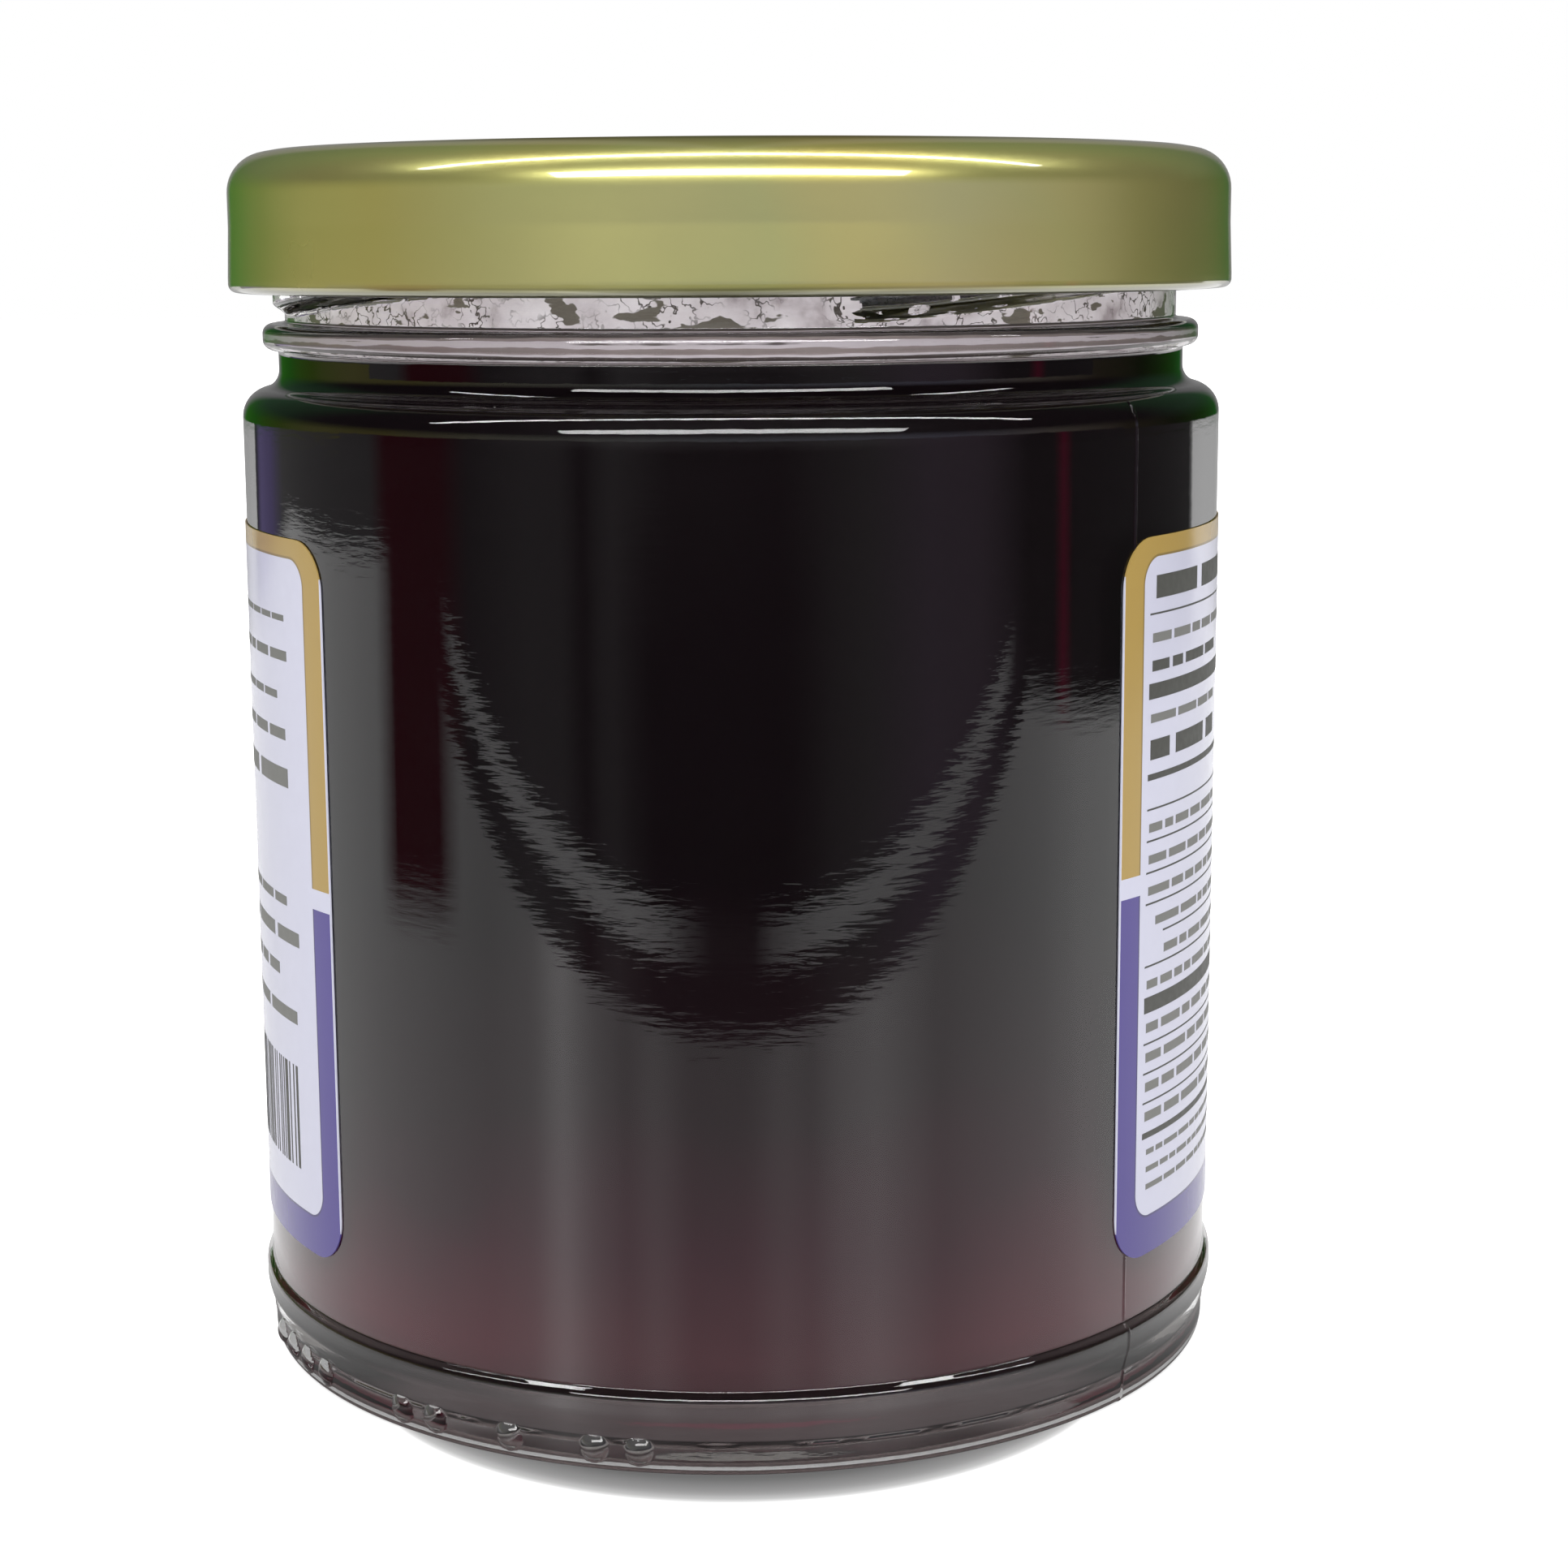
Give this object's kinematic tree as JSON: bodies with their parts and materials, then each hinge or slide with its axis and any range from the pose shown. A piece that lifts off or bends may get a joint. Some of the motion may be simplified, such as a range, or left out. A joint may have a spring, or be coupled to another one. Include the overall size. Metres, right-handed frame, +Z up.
{
  "type": "jar of jelly",
  "caption": "Straight-sided round glass jar filled with dark fruit jelly, with a gold twist-off lid and a wrap label open at the front.",
  "frame": {"origin": "centre of the base, on the table", "axes": "+Z up along the jar's axis; -Y is the front, where the two ends of the label leave the glass bare"},
  "size_m": [0.0734, 0.0734, 0.0882],
  "materials": {
    "glass": "clear, fire-polished",
    "jelly": "near-black purple jelly, glossy",
    "lid_gold": "satin gold lacquer over steel",
    "seal": "soft cream sealing compound",
    "label_paper": "coated paper, printed borders"
  },
  "bodies": {
    "root": {"jar_glass": "glass", "jelly": "jelly", "lid": "lid_gold", "lid_seal": "seal", "label": "label_paper"}
  },
  "joints": []
}
